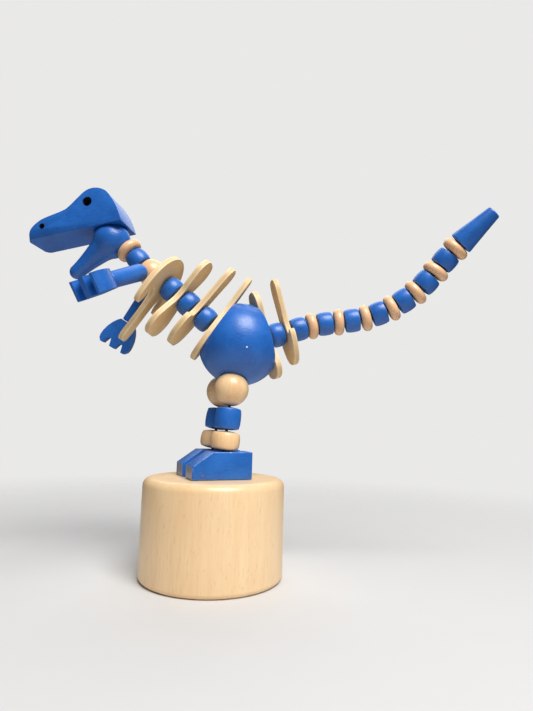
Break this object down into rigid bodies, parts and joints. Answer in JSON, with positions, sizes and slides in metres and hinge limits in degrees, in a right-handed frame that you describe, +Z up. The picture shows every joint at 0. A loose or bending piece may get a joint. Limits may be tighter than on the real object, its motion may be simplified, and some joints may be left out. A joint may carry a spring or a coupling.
{
  "type": "push puppet",
  "caption": "Wooden push puppet: a jointed dinosaur of beads, rings and rib plates strung on cords stands on a round drum; pressing the sprung button below slackens them.",
  "frame": {"origin": "centre of the ring face under the drum, on which the toy stands", "axes": "+Z up along the drum's axis, +X toward the tail, the figure looks toward -X, its left side toward -Y"},
  "size_m": [0.1901, 0.0631, 0.1543],
  "materials": {
    "drum_wood": "clear satin lacquer on pale turned wood",
    "bead_wood": "clear satin lacquer on turned wood",
    "plywood": "bare sanded plywood",
    "blue_paint": "satin blue paint on wood",
    "cord": "woven dark cord",
    "spring_steel": "drawn wire"
  },
  "bodies": {
    "base": {"base_drum": "drum_wood", "return_spring": "spring_steel", "head_cord": "cord", "tail_cord": "cord"},
    "button": {"push_button": "drum_wood"},
    "left_foot": {"left_foot": "blue_paint"},
    "left_ankle_bead": {"left_ankle_bead": "bead_wood"},
    "left_shin_bead": {"left_shin_bead": "blue_paint"},
    "left_hip_ball": {"left_hip_ball": "bead_wood"},
    "right_foot": {"right_foot": "blue_paint"},
    "right_ankle_bead": {"right_ankle_bead": "bead_wood"},
    "right_shin_bead": {"right_shin_bead": "blue_paint"},
    "right_hip_ball": {"right_hip_ball": "bead_wood"},
    "pelvis": {"pelvis_ball": "blue_paint", "pelvis_front_rib": "plywood", "pelvis_rear_rib": "plywood"},
    "spine_bead_1": {"spine_bead_1": "blue_paint"},
    "rib_1": {"rib_1": "plywood"},
    "spine_bead_2": {"spine_bead_2": "blue_paint"},
    "rib_2": {"rib_2": "plywood"},
    "spine_bead_3": {"spine_bead_3": "blue_paint"},
    "chest_rib": {"chest_rib": "plywood"},
    "shoulder_bead": {"shoulder_bead": "bead_wood", "arm_cord": "cord"},
    "neck_bead": {"neck_bead": "blue_paint"},
    "neck_ring": {"neck_ring": "bead_wood"},
    "lower_jaw": {"lower_jaw": "blue_paint"},
    "tail_bead_1": {"tail_bead_1": "blue_paint"},
    "tail_rib": {"tail_rib": "plywood"},
    "tail_bead_2": {"tail_bead_2": "blue_paint"},
    "tail_ring_1": {"tail_ring_1": "bead_wood"},
    "tail_bead_3": {"tail_bead_3": "blue_paint"},
    "tail_ring_2": {"tail_ring_2": "bead_wood"},
    "tail_bead_4": {"tail_bead_4": "blue_paint"},
    "tail_ring_3": {"tail_ring_3": "bead_wood"},
    "tail_bead_5": {"tail_bead_5": "blue_paint"},
    "tail_ring_4": {"tail_ring_4": "bead_wood"},
    "tail_bead_6": {"tail_bead_6": "blue_paint"},
    "tail_ring_5": {"tail_ring_5": "bead_wood"},
    "tail_bead_7": {"tail_bead_7": "blue_paint"},
    "tail_ring_6": {"tail_ring_6": "bead_wood"},
    "tail_bead_8": {"tail_bead_8": "blue_paint"},
    "tail_ring_7": {"tail_ring_7": "bead_wood"},
    "tail_tip": {"tail_tip": "blue_paint"},
    "skull": {"skull": "blue_paint"},
    "left_arm": {"left_arm": "blue_paint"},
    "left_hand": {"left_hand": "blue_paint"},
    "right_arm": {"right_arm": "blue_paint"},
    "right_hand": {"right_hand": "blue_paint"}
  },
  "joints": [
    {"name": "button_push", "type": "slide", "parent": "base", "child": "button", "axis": [0, 0, 1], "range_m": [0, 0.008], "stiffness_N_per_m": 150, "springref_m": -0.004, "deforming": ["return_spring", "head_cord", "tail_cord"]},
    {"name": "left_foot_tilt", "type": "hinge", "parent": "base", "child": "left_foot", "pos_m": [-0.00958, -0.01111, 0.0373], "axis": [-0.309, 0.9511, 0], "range_deg": [-4, 0], "stiffness_Nm_per_rad": 0.015, "springref_deg": -1.4},
    {"name": "left_ankle_bead_tilt", "type": "hinge", "parent": "left_foot", "child": "left_ankle_bead", "pos_m": [0.00326, -0.00694, 0.04775], "axis": [-0.309, 0.9511, 0], "range_deg": [-5, 0], "stiffness_Nm_per_rad": 0.00078, "springref_deg": -1.43},
    {"name": "left_shin_bead_tilt", "type": "hinge", "parent": "left_ankle_bead", "child": "left_shin_bead", "pos_m": [0.0039, -0.00673, 0.05552], "axis": [-0.309, 0.9511, 0], "range_deg": [0, 10], "stiffness_Nm_per_rad": 0.00045, "springref_deg": -1.44},
    {"name": "left_hip_ball_tilt", "type": "hinge", "parent": "left_shin_bead", "child": "left_hip_ball", "pos_m": [0.00467, -0.00648, 0.06478], "axis": [-0.309, 0.9511, 0], "range_deg": [0, 5], "stiffness_Nm_per_rad": 0.0004, "springref_deg": -0.6},
    {"name": "right_foot_tilt", "type": "hinge", "parent": "base", "child": "right_foot", "pos_m": [-0.0141, 0.00277, 0.0373], "axis": [-0.309, 0.9511, 0], "range_deg": [-4, 0], "stiffness_Nm_per_rad": 0.015, "springref_deg": -1.45},
    {"name": "right_ankle_bead_tilt", "type": "hinge", "parent": "right_foot", "child": "right_ankle_bead", "pos_m": [-0.00126, 0.00694, 0.04775], "axis": [-0.309, 0.9511, 0], "range_deg": [-5, 0], "stiffness_Nm_per_rad": 0.0013, "springref_deg": -1.38},
    {"name": "right_shin_bead_tilt", "type": "hinge", "parent": "right_ankle_bead", "child": "right_shin_bead", "pos_m": [-0.00022, 0.00728, 0.05547], "axis": [-0.309, 0.9511, 0], "range_deg": [0, 10], "stiffness_Nm_per_rad": 0.00073, "springref_deg": -1.43},
    {"name": "right_hip_ball_tilt", "type": "hinge", "parent": "right_shin_bead", "child": "right_hip_ball", "pos_m": [0.00101, 0.00768, 0.06468], "axis": [-0.309, 0.9511, 0], "range_deg": [0, 5], "stiffness_Nm_per_rad": 0.0004, "springref_deg": -0.98},
    {"name": "pelvis_tilt", "type": "hinge", "parent": "base", "child": "pelvis", "pos_m": [-0.00439, -0.00175, 0.06139], "axis": [-0.309, 0.9511, 0], "range_deg": [-6, 0], "stiffness_Nm_per_rad": 0.0033, "springref_deg": 1.42},
    {"name": "spine_bead_1_droop", "type": "hinge", "parent": "pelvis", "child": "spine_bead_1", "pos_m": [-0.004, 0.0002, 0.09851], "axis": [-0.0349, -0.9994, 0], "range_deg": [0, 2.4], "stiffness_Nm_per_rad": 0.0004, "springref_deg": -0.54},
    {"name": "rib_1_droop", "type": "hinge", "parent": "pelvis", "child": "rib_1", "pos_m": [-0.00639, 0.00026, 0.10042], "axis": [-0.0454, -0.999, -0.0002], "range_deg": [0, 4.8], "stiffness_Nm_per_rad": 0.17, "springref_deg": -1.44},
    {"name": "spine_bead_2_droop", "type": "hinge", "parent": "rib_1", "child": "spine_bead_2", "pos_m": [-0.01127, 0.00051, 0.10447], "axis": [-0.0767, -0.9971, 0], "range_deg": [0, 2.4], "stiffness_Nm_per_rad": 0.0004, "springref_deg": -0.52},
    {"name": "rib_2_droop", "type": "hinge", "parent": "rib_1", "child": "rib_2", "pos_m": [-0.0136, 0.00067, 0.10646], "axis": [-0.0872, -0.9962, -0.0002], "range_deg": [0, 4.8], "stiffness_Nm_per_rad": 0.14, "springref_deg": -1.41},
    {"name": "spine_bead_3_droop", "type": "hinge", "parent": "rib_2", "child": "spine_bead_3", "pos_m": [-0.01838, 0.00111, 0.11058], "axis": [-0.1184, -0.993, 0], "range_deg": [0, 2.4], "stiffness_Nm_per_rad": 0.0004, "springref_deg": -0.55},
    {"name": "chest_rib_droop", "type": "hinge", "parent": "rib_2", "child": "chest_rib", "pos_m": [-0.02077, 0.00137, 0.11245], "axis": [-0.1288, -0.9917, -0.0002], "range_deg": [0, 4.8], "stiffness_Nm_per_rad": 0.11, "springref_deg": -1.4},
    {"name": "shoulder_bead_droop", "type": "hinge", "parent": "chest_rib", "child": "shoulder_bead", "pos_m": [-0.02579, 0.00205, 0.11626], "axis": [-0.1599, -0.9871, 0], "range_deg": [0, 2.4], "stiffness_Nm_per_rad": 0.087, "springref_deg": -1.44},
    {"name": "neck_bead_droop", "type": "hinge", "parent": "shoulder_bead", "child": "neck_bead", "pos_m": [-0.03317, 0.00325, 0.12276], "axis": [-0.1805, -0.9836, 0], "range_deg": [0, 2.4], "stiffness_Nm_per_rad": 0.056, "springref_deg": -1.44},
    {"name": "neck_ring_droop", "type": "hinge", "parent": "neck_bead", "child": "neck_ring", "pos_m": [-0.03816, 0.00416, 0.12801], "axis": [-0.2011, -0.9796, 0], "range_deg": [0, 2.4], "stiffness_Nm_per_rad": 0.0004, "springref_deg": -0.47},
    {"name": "lower_jaw_droop", "type": "hinge", "parent": "neck_bead", "child": "lower_jaw", "pos_m": [-0.03919, 0.00437, 0.12944], "axis": [-0.2011, -0.9796, 0], "range_deg": [0, 4.8], "stiffness_Nm_per_rad": 0.039, "springref_deg": -1.45},
    {"name": "tail_bead_1_droop", "type": "hinge", "parent": "pelvis", "child": "tail_bead_1", "pos_m": [0.02072, 0.00283, 0.09471], "axis": [-0.1392, 0.9903, 0], "range_deg": [0, 4], "stiffness_Nm_per_rad": 0.0004, "springref_deg": -0.67},
    {"name": "tail_rib_droop", "type": "hinge", "parent": "pelvis", "child": "tail_rib", "pos_m": [0.02359, 0.0033, 0.09566], "axis": [-0.1132, 0.9936, -0.0009], "range_deg": [0, 8], "stiffness_Nm_per_rad": 0.062, "springref_deg": -1.44},
    {"name": "tail_bead_2_droop", "type": "hinge", "parent": "tail_rib", "child": "tail_bead_2", "pos_m": [0.02956, 0.0039, 0.09771], "axis": [-0.0349, 0.9994, 0], "range_deg": [0, 4], "stiffness_Nm_per_rad": 0.054, "springref_deg": -1.44},
    {"name": "tail_ring_1_droop", "type": "hinge", "parent": "tail_bead_2", "child": "tail_ring_1", "pos_m": [0.03659, 0.00415, 0.1], "axis": [0.0175, 0.9998, 0], "range_deg": [0, 4], "stiffness_Nm_per_rad": 0.0004, "springref_deg": -0.58},
    {"name": "tail_bead_3_droop", "type": "hinge", "parent": "tail_bead_2", "child": "tail_bead_3", "pos_m": [0.0387, 0.00416, 0.10044], "axis": [0.0436, 0.999, -0.0009], "range_deg": [0, 8], "stiffness_Nm_per_rad": 0.044, "springref_deg": -1.42},
    {"name": "tail_ring_2_droop", "type": "hinge", "parent": "tail_bead_3", "child": "tail_ring_2", "pos_m": [0.04803, 0.00356, 0.10232], "axis": [0.1219, 0.9925, 0], "range_deg": [0, 4], "stiffness_Nm_per_rad": 0.0004, "springref_deg": -0.6},
    {"name": "tail_bead_4_droop", "type": "hinge", "parent": "tail_bead_3", "child": "tail_bead_4", "pos_m": [0.0501, 0.00337, 0.10247], "axis": [0.1478, 0.989, -0.0009], "range_deg": [0, 8], "stiffness_Nm_per_rad": 0.032, "springref_deg": -1.41},
    {"name": "tail_ring_3_droop", "type": "hinge", "parent": "tail_bead_4", "child": "tail_ring_3", "pos_m": [0.05948, 0.00177, 0.10393], "axis": [0.225, 0.9744, 0], "range_deg": [0, 4], "stiffness_Nm_per_rad": 0.0004, "springref_deg": -0.57},
    {"name": "tail_bead_5_droop", "type": "hinge", "parent": "tail_bead_4", "child": "tail_bead_5", "pos_m": [0.06153, 0.00135, 0.10441], "axis": [0.2504, 0.9681, -0.0009], "range_deg": [0, 8], "stiffness_Nm_per_rad": 0.021, "springref_deg": -1.46},
    {"name": "tail_ring_4_droop", "type": "hinge", "parent": "tail_bead_5", "child": "tail_ring_4", "pos_m": [0.07017, -0.00106, 0.10769], "axis": [0.3256, 0.9455, 0], "range_deg": [0, 4], "stiffness_Nm_per_rad": 0.0004, "springref_deg": -0.54},
    {"name": "tail_bead_6_droop", "type": "hinge", "parent": "tail_bead_5", "child": "tail_bead_6", "pos_m": [0.07202, -0.00165, 0.1086], "axis": [0.3502, 0.9367, -0.0009], "range_deg": [0, 8], "stiffness_Nm_per_rad": 0.013, "springref_deg": -1.44},
    {"name": "tail_ring_5_droop", "type": "hinge", "parent": "tail_bead_6", "child": "tail_ring_5", "pos_m": [0.07954, -0.00464, 0.11367], "axis": [0.4226, 0.9063, 0], "range_deg": [0, 4], "stiffness_Nm_per_rad": 0.0004, "springref_deg": -0.47},
    {"name": "tail_bead_7_droop", "type": "hinge", "parent": "tail_bead_6", "child": "tail_bead_7", "pos_m": [0.08112, -0.00533, 0.11497], "axis": [0.4462, 0.8949, -0.0009], "range_deg": [0, 8], "stiffness_Nm_per_rad": 0.007, "springref_deg": -1.44},
    {"name": "tail_ring_6_droop", "type": "hinge", "parent": "tail_bead_7", "child": "tail_ring_6", "pos_m": [0.08711, -0.00846, 0.1217], "axis": [0.515, 0.8572, 0], "range_deg": [0, 4], "stiffness_Nm_per_rad": 0.0004, "springref_deg": -0.37},
    {"name": "tail_bead_8_droop", "type": "hinge", "parent": "tail_bead_7", "child": "tail_bead_8", "pos_m": [0.08834, -0.00916, 0.12333], "axis": [0.5373, 0.8434, -0.0009], "range_deg": [0, 8], "stiffness_Nm_per_rad": 0.0034, "springref_deg": -1.42},
    {"name": "tail_ring_7_droop", "type": "hinge", "parent": "tail_bead_8", "child": "tail_ring_7", "pos_m": [0.09361, -0.01268, 0.13046], "axis": [0.6018, 0.7986, 0], "range_deg": [0, 4], "stiffness_Nm_per_rad": 0.0004, "springref_deg": -0.39},
    {"name": "tail_tip_droop", "type": "hinge", "parent": "tail_bead_8", "child": "tail_tip", "pos_m": [0.09493, -0.01362, 0.13187], "axis": [0.6225, 0.7826, -0.0009], "range_deg": [0, 8], "stiffness_Nm_per_rad": 0.0013, "springref_deg": -1.4},
    {"name": "skull_nod", "type": "hinge", "parent": "lower_jaw", "child": "skull", "pos_m": [-0.04762, 0.0061, 0.13414], "axis": [-0.225, -0.9744, 0], "range_deg": [0, 4], "stiffness_Nm_per_rad": 0.024, "springref_deg": -1.42},
    {"name": "left_arm_swing", "type": "hinge", "parent": "shoulder_bead", "child": "left_arm", "pos_m": [-0.03335, -0.00645, 0.11679], "axis": [-0.1599, -0.9871, 0], "range_deg": [-40, 25]},
    {"name": "left_hand_twist", "type": "hinge", "parent": "left_arm", "child": "left_hand", "pos_m": [-0.04149, -0.02177, 0.10833], "axis": [-0.422, -0.7936, -0.4384], "range_deg": [-30, 30]},
    {"name": "right_arm_swing", "type": "hinge", "parent": "shoulder_bead", "child": "right_arm", "pos_m": [-0.03028, 0.0125, 0.11679], "axis": [-0.1599, -0.9871, 0], "range_deg": [-35, 1]},
    {"name": "right_hand_twist", "type": "hinge", "parent": "right_arm", "child": "right_hand", "pos_m": [-0.03986, 0.01368, 0.10008], "axis": [-0.4963, 0.0609, -0.866], "range_deg": [-30, 30]}
  ],
  "couplings": [
    {"joint": "left_foot_tilt", "follows": "button_push", "rad_per_m": -8.7258},
    {"joint": "left_ankle_bead_tilt", "follows": "button_push", "rad_per_m": -10.907},
    {"joint": "left_shin_bead_tilt", "follows": "button_push", "rad_per_m": 21.814},
    {"joint": "left_hip_ball_tilt", "follows": "button_push", "rad_per_m": 10.907},
    {"joint": "right_foot_tilt", "follows": "button_push", "rad_per_m": -8.7258},
    {"joint": "right_ankle_bead_tilt", "follows": "button_push", "rad_per_m": -10.907},
    {"joint": "right_shin_bead_tilt", "follows": "button_push", "rad_per_m": 21.814},
    {"joint": "right_hip_ball_tilt", "follows": "button_push", "rad_per_m": 10.907},
    {"joint": "pelvis_tilt", "follows": "button_push", "rad_per_m": -13.089},
    {"joint": "spine_bead_1_droop", "follows": "button_push", "rad_per_m": 5.2355},
    {"joint": "rib_1_droop", "follows": "button_push", "rad_per_m": 10.47},
    {"joint": "spine_bead_2_droop", "follows": "button_push", "rad_per_m": 5.2355},
    {"joint": "rib_2_droop", "follows": "button_push", "rad_per_m": 10.47},
    {"joint": "spine_bead_3_droop", "follows": "button_push", "rad_per_m": 5.2355},
    {"joint": "chest_rib_droop", "follows": "button_push", "rad_per_m": 10.47},
    {"joint": "shoulder_bead_droop", "follows": "button_push", "rad_per_m": 5.2355},
    {"joint": "neck_bead_droop", "follows": "button_push", "rad_per_m": 5.2355},
    {"joint": "neck_ring_droop", "follows": "button_push", "rad_per_m": 5.2355},
    {"joint": "lower_jaw_droop", "follows": "button_push", "rad_per_m": 10.471},
    {"joint": "tail_bead_1_droop", "follows": "button_push", "rad_per_m": 8.7258},
    {"joint": "tail_rib_droop", "follows": "button_push", "rad_per_m": 17.446},
    {"joint": "tail_bead_2_droop", "follows": "button_push", "rad_per_m": 8.7258},
    {"joint": "tail_ring_1_droop", "follows": "button_push", "rad_per_m": 8.7258},
    {"joint": "tail_bead_3_droop", "follows": "button_push", "rad_per_m": 17.446},
    {"joint": "tail_ring_2_droop", "follows": "button_push", "rad_per_m": 8.7258},
    {"joint": "tail_bead_4_droop", "follows": "button_push", "rad_per_m": 17.446},
    {"joint": "tail_ring_3_droop", "follows": "button_push", "rad_per_m": 8.7258},
    {"joint": "tail_bead_5_droop", "follows": "button_push", "rad_per_m": 17.446},
    {"joint": "tail_ring_4_droop", "follows": "button_push", "rad_per_m": 8.7258},
    {"joint": "tail_bead_6_droop", "follows": "button_push", "rad_per_m": 17.446},
    {"joint": "tail_ring_5_droop", "follows": "button_push", "rad_per_m": 8.7258},
    {"joint": "tail_bead_7_droop", "follows": "button_push", "rad_per_m": 17.446},
    {"joint": "tail_ring_6_droop", "follows": "button_push", "rad_per_m": 8.7258},
    {"joint": "tail_bead_8_droop", "follows": "button_push", "rad_per_m": 17.446},
    {"joint": "tail_ring_7_droop", "follows": "button_push", "rad_per_m": 8.7258},
    {"joint": "tail_tip_droop", "follows": "button_push", "rad_per_m": 17.446},
    {"joint": "skull_nod", "follows": "button_push", "rad_per_m": 8.7258}
  ]
}
